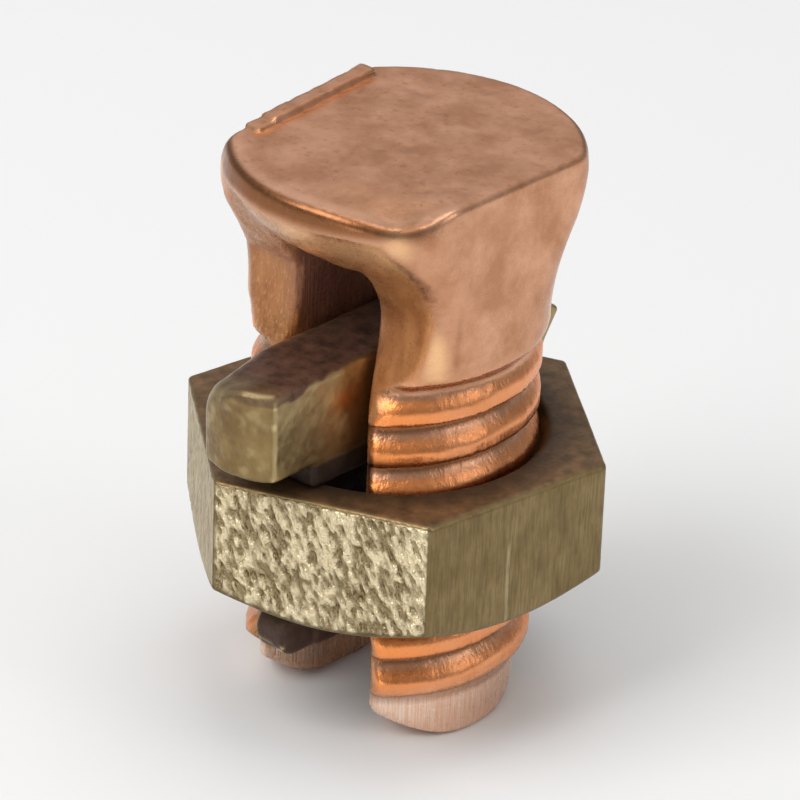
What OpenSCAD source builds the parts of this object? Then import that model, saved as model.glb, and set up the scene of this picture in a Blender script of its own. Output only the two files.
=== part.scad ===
// Split-bolt wire connector: forged bolt, hexagon nut and pressure bar.
// Millimetres, +Z up the bolt, wires lie along Y. The origin is on the bolt's axis, level with the leg ends.

/* [Bolt] */
// Outside diameter of the two threaded legs
leg_d = 14.1; // [12:0.1:16]
// Depth of the thread, which sets the plain noses below it
thread_depth = 0.75; // [0.4:0.05:1.2]
// Length of the plain nose at the end of each leg
nose_l = 2; // [1:0.1:4]
// Width across the flat land that each leg end stands on
leg_land = 3.4; // [1:0.1:6]
// How much larger the leg ends' rounding is than the leg radius
leg_end_extra = 0.6; // [0.2:0.1:3]
// Height of the slot's ceiling above the leg ends
slot_depth = 24.1; // [23:0.1:30]
// Width of the slot between the legs
slot_w = 4.95; // [4:0.05:6.5]
// Length of the slot's straight throat, along the wires
throat_l = 6.8; // [4:0.1:9]
// Radius of the flare on the inner edges of the legs
mouth_r = 3.1; // [1.5:0.1:4]
// Length of the flat part of the ceiling, along the wires
ceiling_l = 3.4; // [1:0.1:8]
// Distance between the faces that are scooped out of the legs under the brow, front and rear
scoop_l = 8.6; // [7:0.1:12]
// How far below the ceiling the scooped faces begin to run out
scoop_drop = 1.2; // [0:0.1:3]
// Radius of the curve in which the scooped faces run out towards the thread
scoop_r = 8; // [4:0.5:14]

/* [Head] */
// Thickness of the crown above the slot
crown_t = 5.5; // [4.5:0.1:8]
// Thickness of the brow where the flared ceiling meets the head's rim
brow_t = 1.15; // [0.9:0.05:2.5]
// How far the head's round ends overhang the legs
head_overhang = 1.75; // [1:0.05:3]
// How far each side flat of the head stands outside the legs
flat_step = 0.05; // [0.05:0.05:0.8]
// How much larger in radius the plain neck under the head is than the threaded legs
neck_step = 0.35; // [0:0.05:0.8]
// Length of the taper from the threaded legs to the neck
neck_taper = 1.4; // [0.5:0.1:3]
// Radius of the hollow curve under the head
neck_r = 14.5; // [8:0.1:20]
// Radius of the full curve below the rim
bell_r = 9.5; // [5:0.1:12]
// Radius of the rounded top edge
rim_r = 0.5; // [0.2:0.05:0.85]

/* [Nut] */
// Width across the flats
nut_af = 19.05; // [18.5:0.05:24]
// Height of the nut
nut_h = 7.1; // [5.5:0.1:8.5]
// Height of the nut's lower face above the leg ends
nut_z = 7.5; // [6.5:0.1:8.5]
// Turn of the hexagon about the bolt, in degrees
nut_turn = 21.6; // [0:0.1:59]
// Radial play between the legs and the nut's bore
bore_gap = 0.06; // [0.02:0.01:0.1]
// Depth of the countersink at each end of the bore
countersink = 0.5; // [0.2:0.05:0.9]
// How far the chamfered lower face is inset from the flats
chamfer_inset = 0.55; // [0.2:0.05:0.8]
// Slope of the lower chamfer, in degrees
chamfer_angle = 30; // [15:1:45]

/* [Pressure bar] */
// Play between the bar and each wall of the slot
bar_gap = 0.1; // [0.05:0.01:0.3]
// Height of the bar's block
bar_h = 4.7; // [3.5:0.1:5.5]
// How far the front end reaches past the legs
bar_front = 4.7; // [3:0.1:7]
// Bulge of the curved front end, from its corners to its middle
end_bulge = 0.85; // [0.3:0.05:1.5]
// How far the rear tip reaches past the legs
bar_rear = 2.2; // [1.5:0.05:7]
// Height of the rear tip above the block's underside
tip_h = 2.4; // [1:0.1:3.2]
// Length of the slope above the rear tip
tip_upper_l = 2.85; // [0.5:0.05:4]
// Length of the slope below the rear tip
tip_lower_l = 1.6; // [0.5:0.05:4]
// Radius of the long upper edge on the left
bar_left_r = 1.5; // [0.2:0.05:1.8]
// Radius of the long upper edge on the right
bar_right_r = 0.4; // [0.2:0.05:1.2]
// Height of the seat pad under the block
pad_t = 1.3; // [0.6:0.1:2]
// Width of the ring of nut face that each end of the seat pad covers
pad_land = 0.5; // [0.3:0.1:2]
// Play between the seat pad and the nut's upper face
seat_gap = 0.05; // [0.02:0.01:0.2]
// Thickness of the tongue that hangs from the block through the nut
tongue_w = 1.9; // [1.2:0.1:3.5]
// Room between the tongue's corners and the nut's bore
tongue_gap = 0.85; // [0.3:0.05:1.5]
// How far the tongue's lips hook under the nut, past its bore
lip_hook = 1.4; // [0.4:0.1:1.7]
// Play between the nut's lower face and the lips
lip_gap = 0.5; // [0.3:0.1:1.5]
// Height of the lips
lip_h = 2.3; // [2:0.1:4]
// Radius of the lips' corners
lip_r = 1.1; // [0.4:0.05:1.8]

/* [Hidden] */
$fn = 96;

// Reach of the cutting shapes, past everything they cut
far = 60;

leg_r = leg_d / 2;
nose_r = leg_r - thread_depth;
total_h = slot_depth + crown_t;
head_r = leg_r + head_overhang;
flat_half = leg_r + flat_step;

// The hollow and full curves of the head touch each other, the neck and the rim
rim_z = total_h - rim_r;
curve_sum = neck_r + bell_r;
neck_half = leg_r + neck_step;
neck_z = rim_z - sqrt(pow(curve_sum, 2) - pow(curve_sum - (head_r - neck_half), 2));

// The ceiling's flare leaves the flat tangentially and meets the rim at the brow
flare_run = head_r - ceiling_l / 2;
flare_rise = crown_t - brow_t;
flare_r = (pow(flare_run, 2) + pow(flare_rise, 2)) / (2 * flare_rise);
scoop_z = slot_depth - scoop_drop;

// The leg ends are one round outline seen from the side, cut off at the land
leg_end_r = leg_r + leg_end_extra;
leg_end_z = sqrt(pow(leg_end_r, 2) - pow(leg_land / 2, 2));

bore_r = leg_r + bore_gap;
nut_top = nut_z + nut_h;
nut_corner_r = nut_af / 2 / cos(30);
lower_face_r = nut_af / 2 - chamfer_inset;
chamfer_h = (nut_corner_r - lower_face_r) * tan(chamfer_angle);

bar_w = slot_w - 2 * bar_gap;
bar_half = bar_w / 2;
pad_z = nut_top + seat_gap;
bar_z = pad_z + pad_t;
bar_top = bar_z + bar_h;
front_y = -(leg_r + bar_front);
rear_y = leg_r + bar_rear;
end_r = (pow(bar_half, 2) + pow(end_bulge, 2)) / (2 * end_bulge);
pad_half = bore_r + countersink + pad_land;
tongue_half = sqrt(pow(bore_r - tongue_gap, 2) - pow(tongue_w / 2, 2));
lip_half = bore_r + lip_hook;
lip_top = nut_z - lip_gap;
lip_z = lip_top - lip_h;
lip_round = min(lip_r, lip_h / 2 - 0.01);

// Turns an outline drawn as (y, z) into a solid that runs along X
module along_x(length) {
  rotate([90, 0, 90])
    translate([0, 0, -length / 2])
      linear_extrude(length) children();
}

// Turns an outline drawn as (x, z) into a solid that runs along Y
module along_y(length) {
  rotate([90, 0, 0])
    translate([0, 0, -length / 2])
      linear_extrude(length) children();
}

// An upright outline from z0 to z1 with its two top corners rounded
module round_top(half, z0, z1, left_r, right_r) {
  translate([-half, z0])
    square([half, z1 - z0 - left_r]);
  translate([0, z0])
    square([half, z1 - z0 - right_r]);
  translate([-half + left_r, z0])
    square([2 * half - left_r - right_r, z1 - z0]);
  translate([-half + left_r, z1 - left_r])
    circle(left_r);
  translate([half - right_r, z1 - right_r])
    circle(right_r);
}

// Half outline of the turned form: nose, leg, hollow neck, bell and rim
module bolt_profile() {
  square([nose_r, total_h]);
  polygon([
    [0, nose_l],
    [nose_r, nose_l],
    [leg_r, nose_l + thread_depth],
    [leg_r, neck_z - neck_taper],
    [neck_half, neck_z],
    [neck_half, rim_z],
    [0, rim_z]
  ]);
  intersection() {
    square([head_r, rim_z]);
    union() {
      difference() {
        polygon([[neck_half + neck_r, neck_z], [head_r - bell_r, rim_z], [head_r - bell_r, neck_z]]);
        translate([neck_half + neck_r, neck_z])
          circle(neck_r);
      }
      translate([head_r - bell_r, rim_z])
        circle(bell_r);
    }
  }
  translate([0, rim_z])
    square([head_r - rim_r, rim_r]);
  translate([head_r - rim_r, rim_z])
    circle(rim_r);
}

// Leg ends seen from the side
module leg_end_outline() {
  translate([-far / 2, leg_end_z])
    square([far, far]);
  intersection() {
    translate([0, leg_end_z])
      circle(leg_end_r);
    translate([-far / 2, 0])
      square([far, leg_end_z]);
  }
}

// Slot seen from above: a straight throat that flares at both mouths
module slot_plan() {
  square([slot_w, far], center = true);
  for (end = [-1, 1])
    difference() {
      translate([0, end * (throat_l + far) / 2])
        square([slot_w + 2 * mouth_r, far], center = true);
      for (side = [-1, 1])
        translate([side * (slot_w / 2 + mouth_r), end * throat_l / 2])
          circle(mouth_r);
    }
}

// Slot seen from the side: a flat ceiling that flares up to the brow at both mouths
module slot_side() {
  translate([-far / 2, -far])
    square([far, far + slot_depth]);
  for (end = [0, 1])
    mirror([end, 0])
      difference() {
        translate([ceiling_l / 2, slot_depth - 1])
          square([flare_r, flare_rise + 2]);
        translate([ceiling_l / 2, slot_depth + flare_r])
          circle(flare_r);
      }
}

// Scoop seen from the side: upright faces under the brow, with a round run-out below them
module scoop_side() {
  intersection() {
    slot_side();
    for (end = [0, 1])
      mirror([end, 0]) {
        translate([scoop_l / 2, scoop_z])
          square([far, far]);
        translate([scoop_l / 2 + scoop_r, scoop_z])
          circle(scoop_r);
      }
  }
}

module split_bolt() {
  color([0.75, 0.47, 0.33])
    difference() {
      intersection() {
        rotate_extrude() bolt_profile();
        along_y(far) round_top(flat_half, 0, total_h, rim_r, rim_r);
        along_x(far) leg_end_outline();
      }
      intersection() {
        translate([0, 0, -far / 2]) linear_extrude(2 * far) slot_plan();
        along_x(far) slot_side();
      }
      along_x(far) scoop_side();
    }
}

module hex_nut() {
  color([0.5, 0.44, 0.28])
    rotate([0, 0, nut_turn])
      translate([0, 0, nut_z])
        difference() {
          intersection() {
            cylinder(h = nut_h, r = nut_corner_r, $fn = 6);
            union() {
              cylinder(h = chamfer_h, r1 = lower_face_r, r2 = nut_corner_r);
              translate([0, 0, chamfer_h])
                cylinder(h = nut_h - chamfer_h, r = nut_corner_r + 1);
            }
          }
          translate([0, 0, -1])
            cylinder(h = nut_h + 2, r = bore_r);
          translate([0, 0, nut_h - countersink])
            cylinder(h = countersink + 1, r1 = bore_r, r2 = bore_r + countersink + 1);
          translate([0, 0, -1])
            cylinder(h = countersink + 1, r1 = bore_r + countersink + 1, r2 = bore_r);
        }
}

// Block with its wedge-shaped rear tip, and seat pad, seen from the side
module block_side() {
  polygon([
    [front_y, bar_z],
    [rear_y - tip_lower_l, bar_z],
    [rear_y, bar_z + tip_h],
    [rear_y - tip_upper_l, bar_top],
    [front_y, bar_top]
  ]);
  translate([-pad_half, pad_z])
    square([2 * pad_half, bar_z - pad_z]);
}

// Tongue seen from the side, with a round lip at each end below the nut
module tongue_side() {
  translate([-tongue_half, lip_z])
    square([2 * tongue_half, bar_z + bar_h / 2 - lip_z]);
  translate([-lip_half + lip_round, lip_z])
    square([2 * (lip_half - lip_round), lip_h]);
  translate([-lip_half, lip_z + lip_round])
    square([2 * lip_half, lip_h - 2 * lip_round]);
  for (y = [-lip_half + lip_round, lip_half - lip_round], z = [lip_z + lip_round, lip_top - lip_round])
    translate([y, z])
      circle(lip_round);
}

// Block seen from above: straight sides and a curved front end
module block_plan() {
  intersection() {
    square([bar_w, far], center = true);
    union() {
      translate([-far / 2, front_y + end_r])
        square([far, far]);
      translate([0, front_y + end_r])
        circle(end_r);
    }
  }
}

module pressure_bar() {
  color([0.45, 0.37, 0.22]) {
    intersection() {
      along_x(far) block_side();
      linear_extrude(far) block_plan();
      along_y(far) round_top(bar_half, 0, bar_top, bar_left_r, bar_right_r);
    }
    along_x(tongue_w) tongue_side();
  }
}

split_bolt();
hex_nut();
pressure_bar();
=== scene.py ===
"""Looks of a split-bolt wire connector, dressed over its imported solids.

Bolt, nut and bar are each meshed from a signed distance function, in millimetres on the part's own axes.
One helix gives the bolt's thread and the nut's, so that they run in each other at every pose.
"""
from types import SimpleNamespace

import bpy
import numpy as np
from mathutils import Matrix, Vector


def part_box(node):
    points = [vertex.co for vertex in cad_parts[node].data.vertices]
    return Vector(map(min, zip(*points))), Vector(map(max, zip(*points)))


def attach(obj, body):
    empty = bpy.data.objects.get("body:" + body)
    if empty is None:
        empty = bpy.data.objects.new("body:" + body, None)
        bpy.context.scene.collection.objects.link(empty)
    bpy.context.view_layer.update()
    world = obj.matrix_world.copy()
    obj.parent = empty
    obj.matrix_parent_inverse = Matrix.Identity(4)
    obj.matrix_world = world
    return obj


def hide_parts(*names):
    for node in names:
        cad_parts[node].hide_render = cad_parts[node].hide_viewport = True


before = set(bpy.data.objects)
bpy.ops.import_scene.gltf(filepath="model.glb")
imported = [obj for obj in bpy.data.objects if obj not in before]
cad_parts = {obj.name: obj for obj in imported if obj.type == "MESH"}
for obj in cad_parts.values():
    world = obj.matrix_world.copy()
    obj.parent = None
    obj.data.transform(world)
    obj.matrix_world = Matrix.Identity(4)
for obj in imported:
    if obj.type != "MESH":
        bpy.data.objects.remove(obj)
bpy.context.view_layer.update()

MM = 0.001


def cad_mm(node):
    """Lowest and highest corner of a CAD node, in millimetres."""
    low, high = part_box(node)
    return np.array(low) / MM, np.array(high) / MM


# Sizes in millimetres. A pair named _X, _Y, _Z or _AHEAD (towards -Y) is a range where something sets in
bolt_low, bolt_high = cad_mm("split_bolt")
nut_low, nut_high = cad_mm("hex_nut")
bar_low, bar_high = cad_mm("pressure_bar")

# Bolt: turned form from the nose up to the rim, with two flats
TOP_Z = bolt_high[2]
HEAD_R = bolt_high[1]
FLAT_HALF = bolt_high[0]
FLAT_EDGE = 0.3
LEG_R = 7.05
LEG_END_R = 7.65
LEG_END_Z = 7.46
LEG_EDGE = 0.25
NECK_STEP = 0.35
NECK_TAPER = 1.4
NECK_R = 14.5
BELL_R = 9.5
RIM_Z = TOP_Z - 0.5
RIM_EDGE = 0.35
RIM_INSET = 0.42
RIM_INSET_AHEAD = (-4, 5)
RIM_LEAN = np.radians(22)
RIM_BLEND = 0.5
NECK_Z = RIM_Z - np.sqrt((NECK_R + BELL_R) ** 2 - (NECK_R + BELL_R - (HEAD_R - LEG_R - NECK_STEP)) ** 2)

# Slot with rounded mouths and a flared ceiling, its upper corner tight inside and wider at the mouths
SLOT_HALF = 2.475
SLOT_EDGE = 0.4
SLOT_CORNER = (0.5, 0.9)
SLOT_CORNER_Y = (2, 4.5)
THROAT_HALF = 3.4
THROAT_NARROWING = 0.75
THROAT_Z = (4, 11)
MOUTH_R = 3.1
CEILING_Z = 24.1
CEILING_HALF = 1.7
FLARE_RISE = 4.35
FLARE_R = ((HEAD_R - CEILING_HALF) ** 2 + FLARE_RISE ** 2) / (2 * FLARE_RISE)
BROW_Z = CEILING_Z + FLARE_RISE
BROW_EDGE = 0.15
BROW_BLEND_Z = (24.5, 27)

# Scoops under the brow, with a left and a right value for the lean of their walls and for their corners
SCOOP_Y = 4.3
SCOOP_Z = CEILING_Z - 1.2
SCOOP_R = 8.0
SCOOP_WALL_RISE = 0.5
SCOOP_LEAN = (0.65, 0.28)
SCOOP_LEAN_X = (-3, 3)
SCOOP_CORNER = (0.5, 2.2)
SCOOP_CORNER_X = (-1, 3)
RIDGE_EDGE = 0.5

# Lower front edge and right front corner of the head's top, and the left flat that leans in
EDGE_DROOP = 0.2
EDGE_DROOP_AHEAD = (4.5, 8.5)
CORNER_DROOP = 0.65
CORNER_DROOP_MIDDLE = 6.0
CORNER_DROOP_SPREAD = 2.4
CORNER_DROOP_AHEAD = (3.8, 6.6)
LEFT_LEAN = 0.9
LEFT_LEAN_Y = (6, -6)
LEFT_LEAN_Z = (27.2, TOP_Z)

# Plank of flash along the top edge of the left flat, with a lower step at its front end
FLASH_ENDS = (-4.6, 4.4)
FLASH_STEP = (-3.5, -3.2)
FLASH_H = (0.14, 0.32)
FLASH_HALF = 0.46
FLASH_INSET = 0.1
FLASH_FOOT = 0.6
FLASH_EDGE = 0.07
FLASH_END_EDGE = 0.1
FLASH_RAGGED_SIDE = 0.05
FLASH_RAGGED_TOP = 0.07

# Thread: 12 turns to the inch, right-handed, with rounded crests, short lower flanks and long upper ones
PITCH = 25.4 / 12
THREAD_DEPTH = 0.68
ROOT_ANGLE = np.radians(-38)
ROOT_Z = 17.6
LOWER_SHARE = 0.16
CREST_SHARE = 0.22
RUNOUT_Z = (18.9, 20.9)
NOSE_R = 6.3
NOSE_Z = (2.35, 2.95)

# Nut
NUT_Z = nut_low[2]
NUT_TOP = nut_high[2]
NUT_HALF = 19.05 / 2
NUT_TURN = np.radians(21.6)
NUT_EDGE = 0.16
NUT_TOP_EDGE = 0.3
NUT_LOWER_R = NUT_HALF - 0.55
CHAMFER = np.radians(30)
BORE_PLAY = 0.16
BORE_R = 7.11
COUNTERSINK = 0.5
BORE_EDGE = 0.08

# Bar
BAR_HALF = bar_high[0]
BAR_TOP = bar_high[2]
BAR_Z = BAR_TOP - 4.7
PAD_Z = NUT_TOP + 0.05
FRONT_Y = bar_low[1]
REAR_Y = bar_high[1]
END_R = 3.74
BAR_LEFT_ROUND = 1.5
BAR_RIGHT_ROUND = 0.4
BAR_ROUND_GAIN = 0.4
BAR_ROUND_GAIN_X = (1, -1)
BAR_DROOP = 0.9
BAR_DROOP_Y = (FRONT_Y + 4.5, FRONT_Y)
BAR_DROOP_X = (1.2, -2.2)
BAR_EDGE = 0.3
BAR_LOWER_EDGE = 0.35
END_EDGE = 0.15
TIP_EDGE = 0.2
PAD_EDGE = 0.15
TONGUE_EDGE = 0.2
OVERLAP = 1
TIP_Z = BAR_Z + 2.4
TIP_UPPER = 2.85
TIP_LOWER = 1.6
PAD_HALF = 8.11
TONGUE_HALF_W = 0.95
TONGUE_HALF = 6.19
LIP_Z = bar_low[2]
LIP_TOP = LIP_Z + 2.3
LIP_HALF = 8.51
LIP_ROUND = 1.1

# Spacing of the grids that the pieces are meshed on, and rounds of smoothing
BOLT_STEP = 0.16
NUT_STEP = 0.145
BAR_STEP = 0.12
EVENING_ROUNDS = 3
HOLLOW_ROUNDS = 4


def smoothstep(low, high, v):
    """Rises smoothly from 0 at low to 1 at high. It falls where low is the larger."""
    t = np.clip((v - low) / (high - low), 0, 1)
    return t * t * (3 - 2 * t)


def window(v, start, end):
    """1 between start and end, each a pair of values over which it rises or falls."""
    return smoothstep(*start, v) * (1 - smoothstep(*end, v))


def hump(v, middle, width):
    """1 at the middle, fading to both sides."""
    return np.exp(-((v - middle) / width) ** 2)


def both(a, b, r):
    """Distance to what lies inside a and b, with the edge between them rounded to r."""
    return np.minimum(np.maximum(a, b), -r) + np.hypot(np.maximum(a + r, 0), np.maximum(b + r, 0))


def either(a, b, r):
    """Distance to what lies inside a or b, with the corner between them filled to r."""
    return -both(-a, -b, r)


def lattice(ix, iy, iz, seed):
    """Repeatable random value from 0 to 1 for each point of a lattice."""
    n = (ix * 374761393 + iy * 668265263 + iz * 2147483647 + seed * 1274126177) & 0xFFFFFFFF
    n = ((n ^ (n >> 13)) * 1274126177) & 0xFFFFFFFF
    n = ((n ^ (n >> 16)) * 2246822519) & 0xFFFFFFFF
    return ((n ^ (n >> 15)) & 0xFFFFFF) / float(0xFFFFFF)


def noise(p, size, seed):
    """Smooth noise from -1 to 1 with lumps about that size, one number or one for each axis."""
    q = p / np.asarray(size, float)
    base = np.floor(q).astype(np.int64)
    f = q - base
    f = f * f * f * (f * (f * 6 - 15) + 10)
    total = np.zeros(len(p))
    for dx in (0, 1):
        for dy in (0, 1):
            for dz in (0, 1):
                share = (f[:, 0] if dx else 1 - f[:, 0]) * (f[:, 1] if dy else 1 - f[:, 1])
                share = share * (f[:, 2] if dz else 1 - f[:, 2])
                total += share * lattice(base[:, 0] + dx, base[:, 1] + dy, base[:, 2] + dz, seed)
    return 2 * total - 1


def layered(p, size, seed, layers=3):
    """Noise summed over layers, each half as large and half as strong as the one before."""
    size = np.asarray(size, float)
    total = sum(noise(p, size / 2 ** k, seed + 17 * k) / 2 ** k for k in range(layers))
    return total / sum(1 / 2 ** k for k in range(layers))


# Meshing of a distance function

def grid_values(distance, low, shape, step):
    """The distance function at each point of a grid, worked out one slab at a time."""
    xs, ys, zs = (low[k] + step * np.arange(shape[k]) for k in range(3))
    values = np.empty(shape, np.float32)
    slab = 24
    for k in range(0, shape[2], slab):
        x, y, z = np.meshgrid(xs, ys, zs[k:k + slab], indexing="ij")
        values[:, :, k:k + slab] = distance(x, y, z)
    return values


def net(values, low, step):
    """Vertices and quads of the surface where the values cross zero, one vertex in each crossed cell."""
    shape = np.array(values.shape)
    inside = values < 0
    total = np.zeros(tuple(shape - 1) + (3,), np.float32)
    count = np.zeros(tuple(shape - 1), np.float32)
    crossings = []
    for axis in range(3):
        a, b = [slice(None)] * 3, [slice(None)] * 3
        a[axis], b[axis] = slice(0, -1), slice(1, None)
        at = np.argwhere(inside[tuple(a)] != inside[tuple(b)])
        one = np.eye(3, dtype=int)[axis]
        va = values[tuple(at.T)]
        vb = values[tuple((at + one).T)]
        point = at.astype(np.float32)
        point[:, axis] += va / (va - vb)
        u, v = (axis + 1) % 3, (axis + 2) % 3
        cells = []
        for du, dv in ((-1, -1), (0, -1), (0, 0), (-1, 0)):
            cell = at.copy()
            cell[:, u] += du
            cell[:, v] += dv
            np.add.at(total, tuple(cell.T), point)
            np.add.at(count, tuple(cell.T), 1)
            cells.append(cell)
        crossings.append((cells, va < 0))
    used = count > 0
    number = np.full(count.shape, -1, np.int64)
    number[used] = np.arange(used.sum())
    verts = total[used] / count[used][:, None] * step + low
    quads = []
    for cells, outward in crossings:
        quad = np.stack([number[tuple(c.T)] for c in cells], 1)
        quad[~outward] = quad[~outward][:, ::-1]
        quads.append(quad)
    return verts.astype(float), np.concatenate(quads)


def gradient(distance, p, eps=0.02):
    """Value and unit outward direction of the distance function at each point."""
    value = distance(p[:, 0], p[:, 1], p[:, 2])
    slope = np.empty_like(p)
    for k in range(3):
        ahead, behind = p.copy(), p.copy()
        ahead[:, k] += eps
        behind[:, k] -= eps
        slope[:, k] = (distance(*ahead.T) - distance(*behind.T)) / (2 * eps)
    length = np.maximum(np.linalg.norm(slope, axis=1), 0.3)
    return value / length, slope / length[:, None]


def edge_pairs(quads):
    pairs = np.concatenate([quads[:, [k, (k + 1) % 4]] for k in range(4)])
    return np.unique(np.sort(pairs, 1), axis=0)


def neighbour_mean(values, pairs):
    total = np.zeros_like(values)
    count = np.zeros(len(values))
    for a, b in ((0, 1), (1, 0)):
        np.add.at(total, pairs[:, a], values[pairs[:, b]])
        np.add.at(count, pairs[:, a], 1)
    return total / np.maximum(count, 1).reshape((-1,) + (1,) * (values.ndim - 1))


def surface(distance, low, high, step):
    """Even quad mesh of a distance function: vertices, quads, outward directions and hollowness."""
    low = np.array(low, float) - 2.5 * step
    shape = tuple(np.ceil((np.array(high, float) - low) / step).astype(int) + 3)
    verts, quads = net(grid_values(distance, low, shape, step), low, step)
    pairs = edge_pairs(quads)
    for _ in range(EVENING_ROUNDS):
        value, normal = gradient(distance, verts)
        verts -= np.clip(value, -step, step)[:, None] * normal
        slide = neighbour_mean(verts, pairs) - verts
        slide -= (slide * normal).sum(1)[:, None] * normal
        verts += 0.5 * slide
    value, normal = gradient(distance, verts)
    verts -= np.clip(value, -step, step)[:, None] * normal
    value, normal = gradient(distance, verts)
    hollow = ((neighbour_mean(verts, pairs) - verts) * normal).sum(1) / step
    for _ in range(HOLLOW_ROUNDS):
        hollow = 0.5 * hollow + 0.5 * neighbour_mean(hollow, pairs)
    return verts, quads, normal, hollow


def refine(verts, normal, quads, chosen):
    """Cuts the chosen quads in four. A quad beside them takes the new corner on the edge that they share."""
    ends = np.stack([quads, np.roll(quads, -1, axis=1)], 2)
    keys = ends.min(2) * len(verts) + ends.max(2)
    cut = np.unique(keys[chosen])
    split = np.isin(keys, cut)
    middle = len(verts) + np.searchsorted(cut, keys)
    centre = len(verts) + len(cut) + np.arange(np.count_nonzero(chosen))
    pairs = np.stack(np.divmod(cut, len(verts)), 1)
    corner, mid = quads[chosen], middle[chosen]
    verts, normal = (np.concatenate([v, v[pairs].mean(1), v[corner].mean(1)]) for v in (verts, normal))
    normal = normal / np.linalg.norm(normal, axis=1)[:, None]
    quarters = [np.stack([corner[:, k], mid[:, k], centre, mid[:, k - 1]], 1) for k in range(4)]
    groups = {4: [quads[~split.any(1)], *quarters]}
    beside = split.any(1) & ~chosen
    for quad, mids, new in zip(quads[beside], middle[beside], split[beside]):
        ring = [v for k in range(4) for v in ((quad[k], mids[k]) if new[k] else (quad[k],))]
        groups.setdefault(len(ring), []).append([ring])
    return verts, normal, [np.concatenate(group) for group in groups.values()]


def mesh_piece(name, verts, faces, marks, material):
    """Blender object from vertices in millimetres and faces grouped by corner count.

    A mark is one value for each vertex, which the material reads by its name.
    """
    corners = np.concatenate([group.ravel() for group in faces])
    sizes = np.concatenate([np.full(len(group), group.shape[1]) for group in faces])
    mesh = bpy.data.meshes.new(name)
    mesh.vertices.add(len(verts))
    mesh.vertices.foreach_set("co", (verts * MM).astype(np.float32).ravel())
    mesh.loops.add(len(corners))
    mesh.loops.foreach_set("vertex_index", corners.astype(np.int32))
    mesh.polygons.add(len(sizes))
    mesh.polygons.foreach_set("loop_start", (np.cumsum(sizes) - sizes).astype(np.int32))
    mesh.polygons.foreach_set("use_smooth", np.ones(len(sizes), bool))
    mesh.update(calc_edges=True)
    mesh.validate()
    for mark, values in marks.items():
        layer = mesh.attributes.new(mark, "FLOAT", "POINT")
        layer.data.foreach_set("value", values.astype(np.float32))
    mesh.materials.append(material)
    piece = bpy.data.objects.new(name, mesh)
    bpy.context.scene.collection.objects.link(piece)
    return piece


# Shapes

def thread_cut(theta, z):
    """Depth of the thread below its crests, from 0 at a crest to 1 at a root."""
    turn = np.mod((z - ROOT_Z) / PITCH - (theta - ROOT_ANGLE) / (2 * np.pi), 1.0)
    return 1 - smoothstep(0, LOWER_SHARE, turn) + smoothstep(LOWER_SHARE + CREST_SHARE, 1, turn)


def bolt_radius(theta, z):
    """Radius of the turned form: nose, threaded leg, taper, hollow neck and bell."""
    leg = LEG_R + NECK_STEP * np.clip((z - NECK_Z) / NECK_TAPER + 1, 0, 1)
    neck = leg + NECK_R - np.sqrt(np.maximum(NECK_R ** 2 - np.maximum(z - NECK_Z, 0) ** 2, 1))
    bell = HEAD_R - BELL_R + np.sqrt(np.maximum(BELL_R ** 2 - np.maximum(RIM_Z - z, 0) ** 2, 0))
    turning_z = NECK_Z + (RIM_Z - NECK_Z) * NECK_R / (NECK_R + BELL_R)
    plain = np.where(z < turning_z, neck, bell)
    depth = THREAD_DEPTH * (1 - smoothstep(*RUNOUT_Z, z))
    threaded = plain - depth * thread_cut(theta, z)
    return NOSE_R + (threaded - NOSE_R) * smoothstep(*NOSE_Z, z)


def left_lean(y, z):
    """How far the left flat leans in towards its upper front corner."""
    return LEFT_LEAN * smoothstep(*LEFT_LEAN_Y, y) * smoothstep(*LEFT_LEAN_Z, z)


def flash_distance(x, y, z):
    """Plank of squeezed-out metal along the left edge of the top, with ragged sides and a lower front end."""
    line = np.stack([np.ravel(y), np.zeros(np.size(y)), np.zeros(np.size(y))], 1)
    ragged = layered(line, 1.3, 131, 3).reshape(np.shape(y))
    middle, half = (FLASH_ENDS[0] + FLASH_ENDS[1]) / 2, (FLASH_ENDS[1] - FLASH_ENDS[0]) / 2
    low, high = FLASH_H
    height = low + (high - low) * smoothstep(*FLASH_STEP, y) + FLASH_RAGGED_TOP * ragged
    centre = left_lean(y, TOP_Z) - FLAT_HALF + FLASH_HALF + FLASH_INSET
    side = np.abs(x - centre) - FLASH_HALF - FLASH_RAGGED_SIDE * ragged
    plank = both(side, z - TOP_Z - height, FLASH_EDGE)
    return np.maximum(both(plank, np.abs(y - middle) - half, FLASH_END_EDGE), TOP_Z - FLASH_FOOT - z)


def head_and_legs(x, y, z):
    """Distance to the bolt before its slot and scoops are cut."""
    r = np.hypot(x, y)
    body = both(r - bolt_radius(np.arctan2(y, x), z), x - FLAT_HALF, FLAT_EDGE)
    body = both(body, left_lean(y, z) - x - FLAT_HALF, FLAT_EDGE)
    inset = RIM_INSET * smoothstep(*RIM_INSET_AHEAD, -y)
    rim = (r - HEAD_R + inset) * np.cos(RIM_LEAN) - (TOP_Z - z) * np.sin(RIM_LEAN)
    body = both(body, rim, RIM_BLEND)
    droop = EDGE_DROOP * smoothstep(*EDGE_DROOP_AHEAD, -y)
    corner = hump(x, CORNER_DROOP_MIDDLE, CORNER_DROOP_SPREAD)
    droop = droop + CORNER_DROOP * corner * smoothstep(*CORNER_DROOP_AHEAD, -y)
    body = both(body, z - TOP_Z + droop, RIM_EDGE)
    leg_end = np.hypot(y, np.minimum(z - LEG_END_Z, 0)) - LEG_END_R - np.maximum(z - LEG_END_Z, 0)
    body = both(body, leg_end, LEG_EDGE)
    body = both(body, -z, LEG_EDGE)
    return np.minimum(body, flash_distance(x, y, z))


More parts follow.
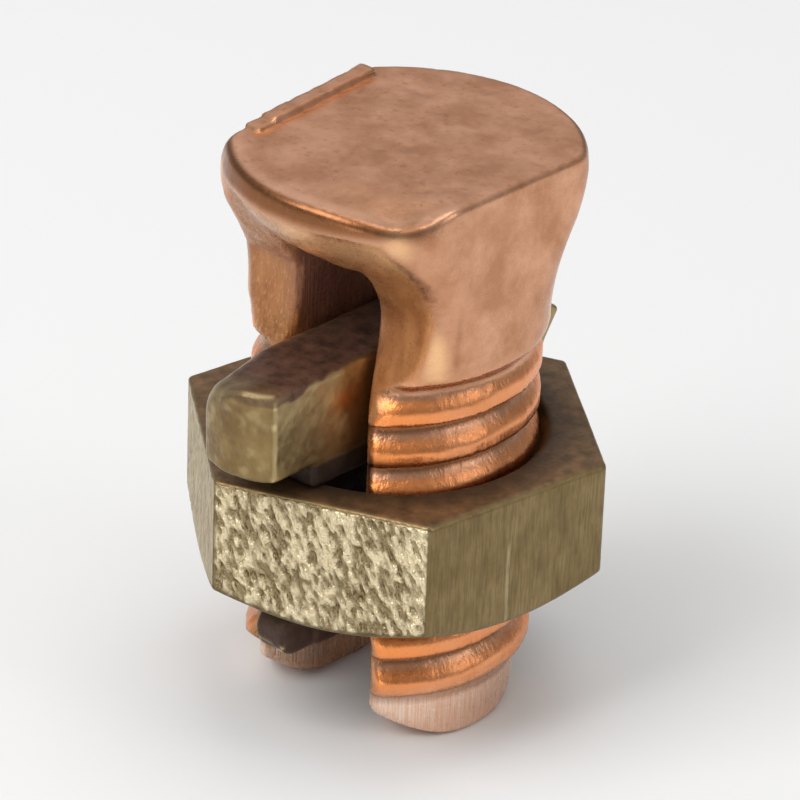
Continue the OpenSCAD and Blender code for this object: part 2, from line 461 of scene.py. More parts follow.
def bolt_distance(x, y, z):
    """Distance to the bolt: head and legs less the scoops under the brow and the slot."""
    throat = THROAT_HALF - THROAT_NARROWING * (1 - smoothstep(*THROAT_Z, z))
    inwards = np.maximum(SLOT_HALF + MOUTH_R - np.abs(x), 0)
    plan = MOUTH_R - np.hypot(inwards, np.maximum(np.abs(y) - throat, 0))
    reach = np.maximum(np.hypot(x, y) - CEILING_HALF, 0)
    ceiling = FLARE_R - np.hypot(reach, np.maximum(CEILING_Z + FLARE_R - z, 0))
    tight, wide = SLOT_CORNER
    slot = both(plan, ceiling, tight + (wide - tight) * smoothstep(*SLOT_CORNER_Y, np.abs(y)))
    left, right = SCOOP_LEAN
    lean = left + (right - left) * smoothstep(*SCOOP_LEAN_X, x)
    wall = SCOOP_Y + lean * np.maximum(z - SCOOP_Z - SCOOP_WALL_RISE, 0)
    scoop = np.hypot(SCOOP_R + wall - np.abs(y), np.minimum(z - SCOOP_Z, 0)) - SCOOP_R
    left, right = SCOOP_CORNER
    scoop = both(scoop, ceiling, left + (right - left) * smoothstep(*SCOOP_CORNER_X, x))
    brow = smoothstep(*BROW_BLEND_Z, z)
    body = both(head_and_legs(x, y, z), -scoop, RIDGE_EDGE + (BROW_EDGE - RIDGE_EDGE) * brow)
    return both(body, -slot, SLOT_EDGE + (BROW_EDGE - SLOT_EDGE) * brow)


def side_angle(k):
    """Direction that the nut's k-th side faces."""
    return NUT_TURN + np.pi / 6 + k * np.pi / 3


def nut_distance(x, y, z):
    """Distance to the nut: hexagon with a lower chamfer, less its threaded bore and two countersinks."""
    solid = None
    for k in range(3):
        a = side_angle(k)
        slab = np.abs(x * np.cos(a) + y * np.sin(a)) - NUT_HALF
        solid = slab if solid is None else both(solid, slab, NUT_EDGE)
    r = np.hypot(x, y)
    cone = (r - NUT_LOWER_R) * np.sin(CHAMFER) - (z - NUT_Z) * np.cos(CHAMFER)
    solid = both(solid, cone, NUT_EDGE)
    solid = both(solid, z - NUT_TOP, NUT_TOP_EDGE)
    solid = both(solid, NUT_Z - z, NUT_EDGE)
    bore = r - (LEG_R + BORE_PLAY - THREAD_DEPTH * thread_cut(np.arctan2(y, x), z))
    for end in (NUT_TOP - z, z - NUT_Z):
        bore = np.minimum(bore, (r - BORE_R - COUNTERSINK + end) * np.sqrt(0.5))
    return both(solid, -bore, BORE_EDGE)


def bar_distance(x, y, z):
    """Distance to the bar: block with a wedge-shaped rear end, pad, and tongue with a lip at each end."""
    rise, fall = BAR_TOP - TIP_Z, TIP_Z - BAR_Z
    upper = ((y - REAR_Y) * rise + (z - TIP_Z) * TIP_UPPER) / np.hypot(rise, TIP_UPPER)
    lower = ((y - REAR_Y) * fall - (z - TIP_Z) * TIP_LOWER) / np.hypot(fall, TIP_LOWER)
    side = both(both(upper, lower, TIP_EDGE), BAR_Z - z, BAR_LOWER_EDGE)
    pad = both(np.abs(y) - PAD_HALF, np.maximum(PAD_Z - z, z - BAR_Z - OVERLAP), PAD_EDGE)
    side = either(side, pad, BAR_EDGE)
    end = np.where(y < FRONT_Y + END_R, np.hypot(x, y - FRONT_Y - END_R), np.abs(x)) - END_R
    plan = both(x - BAR_HALF, end, END_EDGE)
    droop = BAR_DROOP * smoothstep(*BAR_DROOP_Y, y) * smoothstep(*BAR_DROOP_X, x)
    crown = both(-x - BAR_HALF, z - BAR_TOP + droop, BAR_LEFT_ROUND)
    block = both(plan, crown, BAR_RIGHT_ROUND + BAR_ROUND_GAIN * smoothstep(*BAR_ROUND_GAIN_X, x))
    block = both(block, side, BAR_EDGE)
    tongue = both(np.abs(x) - TONGUE_HALF_W, np.abs(y) - TONGUE_HALF, TONGUE_EDGE)
    tongue = both(tongue, np.maximum(LIP_Z - z, z - BAR_Z - OVERLAP), TONGUE_EDGE)
    lip_mid = (LIP_Z + LIP_TOP) / 2
    lip = both(np.abs(y) - LIP_HALF, np.abs(z - lip_mid) - (LIP_TOP - LIP_Z) / 2, LIP_ROUND)
    lip = both(lip, np.abs(x) - TONGUE_HALF_W, BAR_EDGE)
    return either(block, either(tongue, lip, BAR_EDGE), BAR_EDGE)


# Materials

class Nodes:
    """Short forms for building one material's node tree."""

    def __init__(self, name):
        self.material = bpy.data.materials.new(name)
        self.material.use_nodes = True
        self.tree = self.material.node_tree
        self.shader = self.tree.nodes["Principled BSDF"]

    def add(self, kind, inputs=(), **settings):
        node = self.tree.nodes.new(kind)
        for key, value in settings.items():
            setattr(node, key, value)
        for key, value in dict(inputs).items():
            if isinstance(value, bpy.types.NodeSocket):
                self.tree.links.new(value, node.inputs[key])
            else:
                node.inputs[key].default_value = value
        return node

    def place(self, scale):
        """Object coordinates in units of the given lengths, in millimetres along X, Y and Z."""
        spot = self.add("ShaderNodeTexCoord").outputs["Object"]
        size = [1 / (s * MM) for s in scale]
        return self.add("ShaderNodeMapping", {"Vector": spot, "Scale": size}).outputs["Vector"]

    def grain(self, scale, detail, roughness):
        """Noise from 0 to 1 with grains of the given lengths, in millimetres along X, Y and Z."""
        inputs = {"Vector": self.place(scale), "Scale": 1.0, "Detail": detail, "Roughness": roughness}
        return self.add("ShaderNodeTexNoise", inputs).outputs["Fac"]

    def mark(self, name):
        """One of the values that the mesh holds for each vertex."""
        return self.add("ShaderNodeAttribute", attribute_name=name).outputs["Fac"]

    def span(self, value, low, high, to_low=0.0, to_high=1.0):
        """The value carried over from one range to another, without leaving it."""
        inputs = {"Value": value, "From Min": low, "From Max": high, "To Min": to_low, "To Max": to_high}
        return self.add("ShaderNodeMapRange", inputs, clamp=True).outputs["Result"]

    def times(self, a, b):
        return self.add("ShaderNodeMath", {0: a, 1: b}, operation="MULTIPLY").outputs[0]

    def plus(self, a, b):
        return self.add("ShaderNodeMath", {0: a, 1: b}, operation="ADD").outputs[0]

    def blend(self, share, a, b):
        """Colour a where the share is 0 and colour b where it is 1."""
        node = self.add("ShaderNodeMix", data_type="RGBA")
        for index, value in ((0, share), (6, a), (7, b)):
            if isinstance(value, bpy.types.NodeSocket):
                self.tree.links.new(value, node.inputs[index])
            else:
                node.inputs[index].default_value = value if index == 0 else (*value, 1.0)
        return node.outputs[2]

    def bump(self, height, strength, depth_mm, under=None):
        inputs = {"Height": height, "Strength": strength, "Distance": depth_mm * MM}
        if under is not None:
            inputs["Normal"] = under
        return self.add("ShaderNodeBump", inputs).outputs["Normal"]

    def finish(self, colour, metallic, roughness, normal):
        inputs = {"Base Color": colour, "Metallic": metallic, "Roughness": roughness, "Normal": normal}
        for name, socket in inputs.items():
            self.tree.links.new(socket, self.shader.inputs[name])
        return self.material


# Colours of the copper
COPPER = ((0.52, 0.245, 0.13), (0.72, 0.385, 0.235))
PALE_COPPER = (0.95, 0.58, 0.40)
GOLD = ((0.50, 0.20, 0.07), (0.66, 0.295, 0.115))
GOLD_SPARK = (0.98, 0.62, 0.27)
FRESH_COPPER = (0.97, 0.335, 0.105)
HIGHLIGHT_COPPER = (0.95, 0.56, 0.29)
BARE_COPPER = (1.0, 0.86, 0.74)
WORN_EDGE = (0.95, 0.70, 0.52)
PIT_BROWN = (0.30, 0.12, 0.06)
HOLLOW_BROWN = (0.20, 0.07, 0.035)
SHADE_BROWN = (0.235, 0.09, 0.033)
COPPER_OXIDE = ((0.20, 0.075, 0.055), (0.32, 0.14, 0.10))

# Colours of the bronze
NUT_BRONZE = {
    "darker": (0.20, 0.14, 0.06),
    "bright": (0.30, 0.22, 0.105),
    "pale": (0.95, 0.81, 0.54),
    "browned": (0.18, 0.095, 0.042),
}
BAR_BRONZE = {
    "darker": (0.21, 0.135, 0.055),
    "bright": (0.34, 0.24, 0.105),
    "pale": (0.62, 0.50, 0.27),
    "browned": (0.115, 0.056, 0.036),
}
# Orange of the copper leg's painted reflection on the bar
REFLECTED_COPPER = (0.62, 0.27, 0.08)
# Near black of the painted shadow
SHADOW_COLOUR = (0.035, 0.022, 0.014)


def scaled(colour, factor):
    return [factor * c for c in colour]


def copper_material():
    """Forged copper: mottled, golden in the hollows, orange on the thread, dark where oxide stays, with
    painted highlights and painted shade.
    """
    n = Nodes("forged_copper")
    mottle = n.grain((2.2, 2.2, 2.2), 4.0, 0.6)
    streak = n.grain((0.2, 0.2, 5.0), 4.0, 0.6)
    flow = n.grain((0.6, 0.6, 3.0), 3.0, 0.5)
    pits = n.grain((0.45, 0.45, 0.45), 5.0, 0.65)
    fine = n.grain((0.16, 0.16, 0.16), 3.0, 0.6)
    hair = n.grain((0.06, 0.06, 2.0), 3.0, 0.6)
    patch = n.span(mottle, 0.35, 0.65)
    colour = n.blend(patch, *COPPER)
    colour = n.blend(n.mark("pale"), colour, PALE_COPPER)
    gold = n.blend(n.span(flow, 0.36, 0.64), *GOLD)
    spark = n.span(n.grain((0.12, 0.12, 0.5), 2.0, 0.5), 0.54, 0.68, 0.0, 0.55)
    gold = n.blend(n.times(n.mark("streak"), spark), gold, GOLD_SPARK)
    colour = n.blend(n.mark("golden"), colour, gold)
    colour = n.blend(n.times(n.mark("top"), n.span(pits, 0.58, 0.7, 0.0, 0.45)), colour, PIT_BROWN)
    colour = n.blend(n.mark("fresh_and_warm_reflection"), colour, FRESH_COPPER)
    # Painted highlights: a teardrop above the thread, glints at the brow's corners and a lighter brow lip
    colour = n.blend(n.mark("painted_highlight"), colour, HIGHLIGHT_COPPER)
    colour = n.blend(n.times(n.mark("nose"), n.span(hair, 0.38, 0.62)), colour, BARE_COPPER)
    colour = n.blend(n.span(n.mark("edge"), 0.5, 0.0, 0.0, 0.6), colour, HOLLOW_BROWN)
    colour = n.blend(n.span(n.mark("edge"), 0.6, 1.0, 0.0, 0.3), colour, WORN_EDGE)
    # Painted shade: a band under the rim, shade beside the teardrop, down the left side and on the left
    # flare, and in the thread's roots and upper flanks
    colour = n.blend(n.mark("darker"), colour, SHADE_BROWN)
    colour = n.blend(n.mark("tarnish"), colour, n.blend(patch, *COPPER_OXIDE))
    bare = n.span(n.mark("tarnish"), 0.2, 1.0, 1.0, 0.3)
    metallic = n.times(bare, n.span(n.mark("golden"), 0.0, 1.0, 1.0, 0.6))
    rough = n.plus(n.span(pits, 0.3, 0.7, 0.22, 0.36), n.times(n.mark("top"), 0.14))
    normal = n.bump(n.times(pits, n.span(n.mark("golden"), 0.0, 1.0, 1.0, 0.4)), 0.3, 0.05)
    normal = n.bump(n.times(fine, n.mark("top")), 0.35, 0.03, normal)
    normal = n.bump(n.times(streak, n.mark("streak")), 0.8, 0.08, normal)
    return n.finish(colour, metallic, rough, normal)


def bronze_material(name, darker, bright, pale, browned):
    """Cast bronze, mottled from darker to bright, pale where marked and browned by oxide on top, with painted
    highlights, painted shade and shadow, and a painted reflection of copper.
    """
    n = Nodes(name)
    mottle = n.grain((1.6, 1.6, 2.4), 4.0, 0.6)
    streak = n.grain((0.12, 0.12, 1.6), 3.0, 0.6)
    fine = n.grain((0.28, 0.28, 0.28), 4.0, 0.6)
    lumps = n.grain((0.22, 0.22, 0.34), 2.0, 0.55)
    cloud = n.span(n.grain((0.8, 0.8, 0.8), 5.0, 0.65), 0.35, 0.65)
    colour = n.blend(n.span(mottle, 0.32, 0.68), darker, bright)
    colour = n.blend(n.mark("pale"), colour, pale)
    brushing = n.times(n.mark("streak"), n.span(streak, 0.45, 0.62, 0.0, 0.4))
    colour = n.blend(brushing, colour, scaled(darker, 0.5))
    oxide = n.blend(cloud, scaled(browned, 0.5), scaled(browned, 1.45))
    colour = n.blend(n.mark("brown"), colour, oxide)
    colour = n.blend(n.mark("copper_reflection"), colour, REFLECTED_COPPER)
    # Painted shadow: on the nut's top around the bore, under the bar and on its lip
    colour = n.blend(n.mark("painted_shadow"), colour, SHADOW_COLOUR)
    metallic = n.span(n.mark("brown"), 0.0, 1.0, 1.0, 0.45)
    rough = n.plus(n.span(fine, 0.3, 0.7, 0.30, 0.44), n.times(n.mark("brown"), 0.18))
    normal = n.bump(n.times(lumps, n.mark("pebble")), 1.0, 0.3)
    normal = n.bump(fine, 0.3, 0.04, normal)
    normal = n.bump(n.times(streak, n.mark("streak")), 0.6, 0.06, normal)
    return n.finish(colour, metallic, rough, normal)


# Pieces

# Ranges where zones set in: upward share of the outward direction, height over the turned form, depth, X
FACING_UP = (0.6, 0.95)
SKIN_HEIGHT = (-0.3, -0.1)
INNER_DEPTH = (1.4, 3.4)
LEFT_X = (1, -1)

# Places of the bolt's patches, mostly painted highlights and painted shade: angles from the X axis in
# degrees, heights as ranges where they begin and end
TEAR_ANGLE = 33
TEAR_WIDTH = 2.2
TEAR_SPREAD = 0.9
TEAR_SPREAD_Z = 23.2
TEAR_START, TEAR_END = (20.0, 20.6), (22.0, 23.4)
SHADE_ANGLE = 25.5
SHADE_WIDTH = 1.4
SHADE_START, SHADE_END = (20.4, 21.4), (23, 24.5)
SIDE_SHADE_START, SIDE_SHADE_END = (20.8, 21.8), (25.4, 26.6)
SIDE_SHADE_X = (-5.6, -6.3)
SIDE_SHADE_Y = (2.0, 3.3)
GLINT_AT = (5.8, 6.6, 28.1)
GLINT_SIZE = (0.6, 0.6, 0.7)
BROW_LIP_X = (-4, -1)
BROW_LIP_Z = (25.8, 27.4)
LOW_LEG_Z = (4, 8)
GROOVE_AT = 0.25
GROOVE_WIDTH = 0.22
GROOVE_FADE = 0.6


def bolt_zones(verts, normal):
    """How much each vertex of the bolt belongs to each zone, from 0 to 1."""
    x, y, z = verts.T
    theta = np.arctan2(y, x)
    over = np.hypot(x, y) - bolt_radius(theta, z)
    turned = np.maximum(smoothstep(*SKIN_HEIGHT, over), smoothstep(BROW_Z - 0.1, BROW_Z + 0.15, z))
    top = smoothstep(*FACING_UP, normal[:, 2]) * smoothstep(TOP_Z - 1, TOP_Z - 0.3, z)
    flat = smoothstep(FLAT_HALF - 0.3, FLAT_HALF - 0.05, np.abs(x) + left_lean(y, z) * (x < 0))
    flare = (1 - top) * (1 - flat) * (1 - turned)
    return SimpleNamespace(
        turned=turned,
        top=top,
        flare=flare,
        left_flare=flare * smoothstep(*LEFT_X, x),
        thread=window(z, NOSE_Z, RUNOUT_Z) * turned,
        inner=smoothstep(*INNER_DEPTH, -over) * (1 - smoothstep(CEILING_Z, CEILING_Z + 2, z)),
        nose=1 - smoothstep(*NOSE_Z, z),
        mouth=np.abs(np.sin(theta)),
    )


def bolt_relief(verts, zone):
    """Height of forging lumps, dents, drawn metal in the left flare and the thread's rough skin."""
    lumps = 0.03 * layered(verts, 3.0, 3) * (1 - 0.7 * zone.thread)
    dents = -0.05 * smoothstep(0.35, 0.7, layered(verts, 0.9, 11)) * (0.2 + 0.8 * zone.top)
    drawn = 0.05 * layered(verts, (0.5, 0.5, 4.0), 23, 2) * zone.left_flare
    skin = 0.03 * layered(verts, (0.5, 0.5, 0.8), 31, 2) * zone.thread
    return lumps + dents + drawn + skin


def thread_colours(verts, normal, zone):
    """Fresh, pale and darker shares: orange crests, stronger by the slot's mouths as a painted warm
    reflection; painted shade in the roots, on the upper flanks and above the nose.
    """
    x, y, z = verts.T
    cut = thread_cut(np.arctan2(y, x), z)
    # Orange on the crests is fresh metal, made stronger by the slot's mouths as a painted warm reflection
    fresh_and_warm_reflection = zone.thread * (0.6 + 0.4 * smoothstep(0.3, 0.75, zone.mouth)) * (1 - smoothstep(0.35, 0.8, cut))
    fresh_and_warm_reflection = fresh_and_warm_reflection * smoothstep(NOSE_Z[0] + 0.2, NOSE_Z[1] + 1.1, z)
    # Painted shade in the roots, on the up-facing upper flanks and just above the nose
    root = zone.thread * smoothstep(0.75, 1.0, cut)
    ledge = zone.thread * smoothstep(0.15, 0.5, normal[:, 2])
    brink = window(z, (NOSE_Z[0] - 0.25, NOSE_Z[0]), (NOSE_Z[0] + 0.15, NOSE_Z[1]))
    pale = 0.25 * zone.thread * (1 - fresh_and_warm_reflection) * (1 - root)
    return fresh_and_warm_reflection, pale, 0.8 * root + 0.25 * ledge + 0.35 * brink


def head_colours(verts, normal, zone):
    """Golden share, painted highlight and painted shade: highlights above the thread and at the brow, shade
    under the rim, beside the highlight and on the left.
    """
    x, y, z = verts.T
    corner = np.degrees(np.arctan2(np.abs(y), np.abs(x)))
    # The teardrop above the thread, the glints at the brow's corners and the brow lip are painted highlights
    teardrop_highlight = hump(corner, TEAR_ANGLE, TEAR_WIDTH + TEAR_SPREAD * np.clip(TEAR_SPREAD_Z - z, 0, 3))
    teardrop_highlight = teardrop_highlight * window(z, TEAR_START, TEAR_END) * zone.turned
    spots = zip((np.abs(x), np.abs(y), z), GLINT_AT, GLINT_SIZE)
    glint = np.prod([hump(v, at, size) for v, at, size in spots], axis=0)
    brow_lip = zone.flare * smoothstep(*BROW_LIP_Z, z) * smoothstep(*BROW_LIP_X, x)
    # Painted shade: beside the teardrop, down the left side, in a band under the rim at the front and back,
    # and on the left flare
    shade = hump(corner, SHADE_ANGLE, SHADE_WIDTH) * window(z, SHADE_START, SHADE_END) * zone.turned
    side_shade = zone.turned * smoothstep(*SIDE_SHADE_X, x) * window(z, SIDE_SHADE_START, SIDE_SHADE_END)
    side_shade = side_shade * smoothstep(*SIDE_SHADE_Y, np.abs(y))
    band = smoothstep(TOP_Z - 1.5, TOP_Z - 1.0, z) * (1 - smoothstep(0.85, 0.985, normal[:, 2]))
    band = zone.turned * band * smoothstep(0.55, 0.75, zone.mouth)
    darker = 0.9 * band * (1 - glint) + 0.3 * shade + 0.6 * side_shade + 0.45 * zone.left_flare
    return zone.flare * (1 - glint), teardrop_highlight + 0.8 * glint + 0.6 * brow_lip, darker


def bolt_marks(verts, normal, hollow, zone):
    """Shares from 0 to 1 that the copper's colours and grain follow."""
    x, y, z = verts.T
    fresh_and_warm_reflection, thread_pale, thread_shade = thread_colours(verts, normal, zone)
    golden, painted_highlight, head_shade = head_colours(verts, normal, zone)
    # Painted highlight on the nose by the slot's mouths
    nose_highlight = zone.nose * smoothstep(0.35, 0.75, zone.mouth) * smoothstep(0.5, 1.7, z)
    beside_flash = x + FLAT_HALF - left_lean(y, TOP_Z) - 2 * FLASH_HALF
    front, rear = FLASH_ENDS
    groove = hump(beside_flash, GROOVE_AT, GROOVE_WIDTH) * zone.top
    groove = groove * window(y, (front - GROOVE_FADE, front), (rear - GROOVE_FADE, rear))
    rim = smoothstep(TOP_Z - 0.9, TOP_Z - 0.5, z)
    verge = zone.top * smoothstep(HEAD_R - 1.4, HEAD_R - 0.8, np.hypot(x, y)) * smoothstep(1, -3, y)
    # Low on the legs' inner sides the colour is made paler as painted light, and above that the slot walls
    # tarnish
    low_leg = 1 - smoothstep(*LOW_LEG_Z, z)
    pale = 0.7 * zone.nose + 0.3 * nose_highlight + thread_pale + 0.3 * verge + 0.6 * zone.inner * low_leg
    marks = {
        "top": zone.top,
        "golden": golden,
        "fresh_and_warm_reflection": fresh_and_warm_reflection + 0.6 * groove,
        "nose": 0.5 * zone.nose + 0.5 * nose_highlight,
        "pale": pale,
        "painted_highlight": painted_highlight,
        "darker": thread_shade + head_shade,
        "tarnish": 0.85 * zone.inner * (1 - low_leg),
        "edge": 0.5 - 4 * hollow * (1 - 0.6 * zone.thread) * (1 - 0.8 * rim),
        "streak": zone.nose + zone.left_flare + 0.4 * zone.thread + 0.1 * (1 - zone.top),
    }
    return {name: np.clip(values, 0, 1) for name, values in marks.items()}


def make_bolt():
    above = np.array([0, 0, FLASH_H[1] + 0.2])
    verts, quads, normal, hollow = surface(bolt_distance, bolt_low, bolt_high + above, BOLT_STEP)
    zone = bolt_zones(verts, normal)
    marks = bolt_marks(verts, normal, hollow, zone)
    verts = verts + normal * bolt_relief(verts, zone)[:, None]
    verts[:, 2] = np.maximum(verts[:, 2], 0)
    return mesh_piece("bolt_forging", verts, [quads], marks, copper_material())


# Grain of the nut's pebbled sides, and lines on its sides at distances right of their middles
GRAIN_SLANT = 0.35
GRAIN_STRETCH = 0.5
SEAM_AT = 2.1
SEAM_WIDTH = 0.1
STRIP_AT = (4.4, 4.9)
SCRATCH_AT = -0.5
SCRATCH_WIDTH = 0.07
SCRATCH_Z = (NUT_TOP - 2.2, NUT_TOP - 3)

# Radii from which a painted shadow sets in on the nut's top, towards the bore
SHADOW_R = (9.8, 7.8)


def nut_faces(verts, normal):
    """How much each vertex lies on each of the nut's six sides, clear of their edges."""
    sides = []
    for k in range(6):
        out = np.array([np.cos(side_angle(k)), np.sin(side_angle(k)), 0])
        near = smoothstep(NUT_HALF - 0.3, NUT_HALF - 0.05, verts @ out)
        sides.append(smoothstep(0.9, 0.99, normal @ out) * near)
    return np.array(sides)


def along_side(verts, k):
    """Distance to the right of the middle of the nut's k-th side, as seen from outside."""
    return verts[:, 1] * np.cos(side_angle(k)) - verts[:, 0] * np.sin(side_angle(k))


def pebbles(verts, side):
    """Height of the cast grain on sides 1 and 4, their upright seam and the pale strip at their right."""
    across = np.where(side[1] > side[4], along_side(verts, 1), along_side(verts, 4))
    z = verts[:, 2]
    slanted = np.stack([across + GRAIN_SLANT * z, GRAIN_STRETCH * z, np.sign(verts[:, 1])], 1)
    height = 0.2 * noise(slanted, 0.8, 9) + 0.55 * noise(slanted, 0.25, 10) + 0.5 * noise(slanted, 0.15, 11)
    seam = hump(across - 0.12 * noise(slanted, 0.9, 13), SEAM_AT, SEAM_WIDTH)
    strip = smoothstep(*STRIP_AT, across + 0.2 * noise(slanted, 0.5, 14))
    return height, seam, strip


def make_nut():
    """The six sides in turn: one striated, one pebbled and one brushed, twice over."""
    verts, quads, normal, _ = surface(nut_distance, nut_low, nut_high, NUT_STEP)
    side = nut_faces(verts, normal)
    verts, normal, faces = refine(verts, normal, quads, ((side[1] + side[4])[quads] > 0.3).all(1))
    side = nut_faces(verts, normal)
    striated, pebbled, brushed = side[0] + side[3], side[1] + side[4], side[2] + side[5]
    up, z, r = normal[:, 2], verts[:, 2], np.hypot(verts[:, 0], verts[:, 1])
    height, seam, strip = pebbles(verts, side)
    rows = layered(verts, (0.4, 0.4, 1.6), 19) + 0.5 * noise(verts, 0.3, 29)
    across = np.where(side[2] > side[5], along_side(verts, 2), along_side(verts, 5))
    scratch = brushed * hump(across, SCRATCH_AT, SCRATCH_WIDTH) * smoothstep(*SCRATCH_Z, z)
    clear = smoothstep(NUT_Z + 0.2, NUT_Z + 1.5, z) * smoothstep(NUT_TOP, NUT_TOP - 0.35, z)
    lift = pebbled * clear * (0.13 * height - 0.1 - 0.05 * seam)
    lift += striated * clear * (0.07 * rows - 0.06)
    lift += brushed * clear * 0.015 * layered(verts, (0.8, 0.8, 5.0), 39)
    lift += 0.03 * layered(verts, 2.5, 49) * (np.abs(up) > 0.5) * (r > BORE_R + COUNTERSINK)
    verts = verts + normal * np.minimum(lift, 0.02)[:, None]
    # Paler on the grain's peaks: painted highlight on the relief
    pale = pebbled * (0.12 + 0.8 * smoothstep(-0.35, 0.45, height) + 0.3 * strip - 0.15 * seam)
    pale += striated * (0.28 + 0.25 * smoothstep(-0.7, 1.1, rows)) + 0.3 * scratch
    marks = {
        "brown": smoothstep(*FACING_UP, up) * 0.85,
        "pale": np.clip(pale, 0, 1),
        "streak": np.clip(brushed + striated, 0, 1),
        "copper_reflection": 0 * z,
        "painted_shadow": 0.7 * smoothstep(*SHADOW_R, r) * smoothstep(0.3, 0.9, up),
        "pebble": pebbled + 0.5 * striated,
    }
    return mesh_piece("nut_casting", verts, faces, marks, bronze_material("cast_bronze", **NUT_BRONZE))


# Ragged lower limit of the oxide on the bar's top, which sags and thins towards the front
OXIDE_Z = BAR_TOP - 0.2
OXIDE_SAG = 0.35
OXIDE_SAG_Y = (-6, -10)
OXIDE_RAGGED = 0.35
OXIDE_FADE = 0.08
OXIDE_THIN = 0.45
OXIDE_THIN_Y = (FRONT_Y + 2.0, FRONT_Y + 0.8)

# Middle and size of the copper leg's painted reflection on the bar's flanks, along Y and Z
REFLECTION_AT = (-6.2, 18.8)
REFLECTION_SIZE = (0.9, 0.6)

# Share of the outward direction at which a surface counts as the bar's front or flank
FACING_OUT = (0.7, 0.95)


def bar_marks(even, lumpy, normal):
    """Shares from 0 to 1 that the bar's colours follow, from its vertices before and after the lumps."""
    x, y, z = even.T
    right, ahead, up = normal[:, 0], -normal[:, 1], normal[:, 2]
    front = smoothstep(*FACING_OUT, ahead)
    flank = smoothstep(*FACING_OUT, np.abs(right))
    lip = 1 - smoothstep(LIP_TOP + 0.5, LIP_TOP + 1.5, z)
    shaded = smoothstep(BAR_Z + 0.1, BAR_Z - 0.2, z) * (1 - lip)
    ragged = layered(np.stack([y, 0 * y, 0 * y], 1), 1.4, 71, 3)
    limit = OXIDE_Z - OXIDE_SAG * smoothstep(*OXIDE_SAG_Y, y) + OXIDE_RAGGED * ragged
    oxide = smoothstep(limit - OXIDE_FADE, limit + OXIDE_FADE, z)
    oxide = oxide * (1 - OXIDE_THIN * smoothstep(*OXIDE_THIN_Y, y))
    # Painted highlights along the front's edges and the lip's lower edge, and specks and stains on the front
    fleck = smoothstep(-0.1, 0.4, noise(lumpy, 0.5, 83))
    front_edge = smoothstep(0.3, 0.6, ahead) * smoothstep(0.3, 0.6, up)
    corner_edge = smoothstep(0.2, 0.35, ahead) * smoothstep(0.64, 0.74, right) * fleck
    lip_edge = lip * smoothstep(0.2, 0.5, ahead) * smoothstep(-0.1, -0.4, up) * fleck
    speck = smoothstep(0.0, 0.5, layered(lumpy, 0.5, 91, 2)) * front
    stain = smoothstep(0.05, 0.5, layered(lumpy, 0.7, 97, 3)) * front
    # Oxide on top and stains on the front, with painted shade on the lip and under the bar
    brown = np.clip(oxide + (lip + shaded) * (1 - lip_edge) + 0.3 * stain, 0, 1)
    pale = (0.4 * front_edge + corner_edge + 0.3 * speck + 0.4 * flank) * (1 - lip) + lip_edge
    return {
        "brown": brown * (1 - 0.2 * front_edge),
        "pale": np.clip(pale, 0, 1),
        "streak": 0 * x,
        "copper_reflection": 0.8 * hump(y, REFLECTION_AT[0], REFLECTION_SIZE[0]) * hump(z, REFLECTION_AT[1], REFLECTION_SIZE[1]) * flank,
        # Painted shadow under the bar and on its lip
        "painted_shadow": 0.85 * shaded + 0.6 * lip * (1 - lip_edge),
        "pebble": 0.25 * front,
    }


def make_bar():
    even, quads, normal, _ = surface(bar_distance, bar_low, bar_high, BAR_STEP)
    lumps = 0.06 * layered(even, 2.2, 5) + 0.03 * layered(even, 0.7, 15)
    lumpy = even + normal * np.minimum(lumps, 0.04)[:, None]
    marks = bar_marks(even, lumpy, normal)
    return mesh_piece("bar_casting", lumpy, [quads], marks, bronze_material("bar_bronze", **BAR_BRONZE))


for make, body, node, slot in (
    (make_bolt, "bolt", "split_bolt", "copper"),
    (make_nut, "nut", "hex_nut", "nut_bronze"),
    (make_bar, "bar", "pressure_bar", "bar_bronze"),
):
    piece = make()
    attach(piece, body)
    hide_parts(node)


# Stage, light and camera

def grey(level):
    return (level, level, level, 1)


def make_floor():
    """White floor, a square with sides of six metres."""
    mesh = bpy.data.meshes.new("floor")
    half = 3.0
    corners = [(-half, -half, 0), (half, -half, 0), (half, half, 0), (-half, half, 0)]
    mesh.from_pydata(corners, [], [(0, 1, 2, 3)])
    floor = bpy.data.objects.new("floor", mesh)
    bpy.context.scene.collection.objects.link(floor)
    n = Nodes("white_floor")
    n.shader.inputs["Base Color"].default_value = grey(0.86)
    n.shader.inputs["Roughness"].default_value = 0.9
    n.shader.inputs["Specular IOR Level"].default_value = 0.0
    mesh.materials.append(n.material)


def area_light(name, azimuth, elevation, reach_mm, size_mm, watts, centre):
    """Softbox that faces the centre. Its azimuth in degrees is 0 on +X and 90 on +Y."""
    a, e = np.radians(azimuth), np.radians(elevation)
    out = Vector((np.cos(e) * np.cos(a), np.cos(e) * np.sin(a), np.sin(e)))
    data = bpy.data.lights.new(name, "AREA")
    data.shape = "RECTANGLE"
    data.size, data.size_y = (s * MM for s in size_mm)
    data.energy = watts
    light = bpy.data.objects.new(name, data)
    light.location = centre + out * reach_mm * MM
    light.rotation_euler = out.to_track_quat("Z", "Y").to_euler()
    bpy.context.scene.collection.objects.link(light)


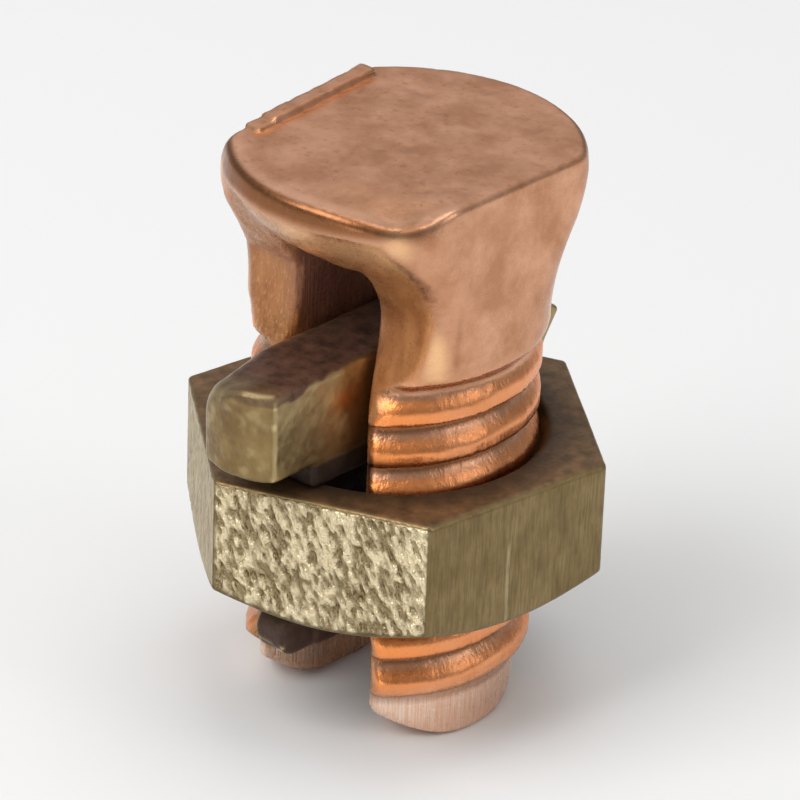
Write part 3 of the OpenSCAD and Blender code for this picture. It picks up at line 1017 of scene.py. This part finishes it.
def make_world():
    """Studio walls: pale at the foot, dimmer half way up, brighter overhead."""
    world = bpy.data.worlds.new("studio")
    bpy.context.scene.world = world
    world.use_nodes = True
    tree = world.node_tree
    spot = tree.nodes.new("ShaderNodeTexCoord")
    split = tree.nodes.new("ShaderNodeSeparateXYZ")
    ramp = tree.nodes.new("ShaderNodeValToRGB")
    tree.links.new(spot.outputs["Generated"], split.inputs[0])
    tree.links.new(split.outputs["Z"], ramp.inputs["Fac"])
    tree.links.new(ramp.outputs["Color"], tree.nodes["Background"].inputs["Color"])
    ramp.color_ramp.elements[0].position = 0.0
    ramp.color_ramp.elements[0].color = grey(0.55)
    ramp.color_ramp.elements[1].position = 1.0
    ramp.color_ramp.elements[1].color = grey(0.62)
    for position, level in ((0.12, 0.40), (0.3, 0.31), (0.6, 0.42)):
        ramp.color_ramp.elements.new(position).color = grey(level)


def make_camera():
    """The photograph's view: a long lens aimed past the middle of the nut's upper face."""
    lens, sensor = 225.0, 36.0
    distance, aside, above = 243.69, 0.2686, 0.9106
    azimuth, elevation, roll = (np.radians(a) for a in (42.0, 27.74, 2.13))
    back = Vector((0, -np.cos(elevation), np.sin(elevation)))
    level = Vector((1, 0, 0))
    rise = Vector((0, np.sin(elevation), np.cos(elevation)))
    right = level * np.cos(roll) + rise * np.sin(roll)
    up = rise * np.cos(roll) - level * np.sin(roll)
    place = back * distance + right * aside + up * above
    turn = Matrix.Rotation(azimuth, 4, "Z")
    pose = Matrix((right, up, back)).transposed().to_4x4()
    pose.translation = place * MM
    data = bpy.data.cameras.new("camera")
    data.lens, data.sensor_width = lens, sensor
    data.clip_start = 0.005
    camera = bpy.data.objects.new("camera", data)
    camera.matrix_world = Matrix.Translation((0, 0, NUT_TOP * MM)) @ turn @ pose
    bpy.context.scene.collection.objects.link(camera)
    bpy.context.scene.camera = camera


make_floor()
make_world()
half_way_up = Vector((0, 0, 15 * MM))
# Name, azimuth and elevation in degrees, distance and size in millimetres, watts
for light in (
    ("key", -105, 48, 600, (380, 380), 2.0),
    ("overhead", 40, 82, 600, (320, 320), 0.72),
    ("rear", 132, 34, 600, (420, 260), 0.15),
    ("side", 15, 30, 600, (200, 300), 0.35),
    ("low", -75, 7, 500, (160, 60), 0.12),
):
    area_light(*light, half_way_up)
make_camera()
bpy.context.scene.view_settings.view_transform = "Standard"
